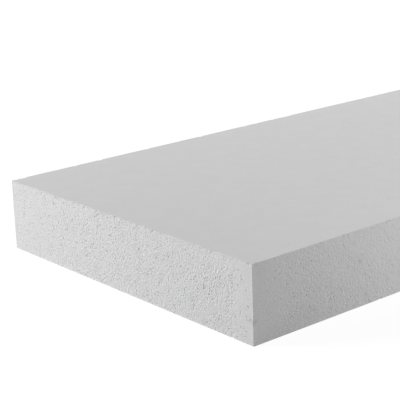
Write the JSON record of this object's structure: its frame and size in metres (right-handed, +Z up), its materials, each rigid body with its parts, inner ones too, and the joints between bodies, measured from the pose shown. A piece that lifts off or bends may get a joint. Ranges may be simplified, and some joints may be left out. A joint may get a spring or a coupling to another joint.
{
  "type": "expanded polystyrene insulation board",
  "caption": "Flat rectangular board of white expanded polystyrene bead foam, cut square on all sides, for thermal insulation under render, screed or cladding.",
  "frame": {"origin": "centre of the underside, on the plane the board lies on", "axes": "+X along the length, +Y across the width, +Z up through the thickness"},
  "size_m": [1, 0.5, 0.1],
  "materials": {
    "bead_foam": "matt white fused bead foam, fine pits between the beads on the cut edges"
  },
  "bodies": {
    "root": {"polystyrene_board": "bead_foam"}
  },
  "joints": []
}
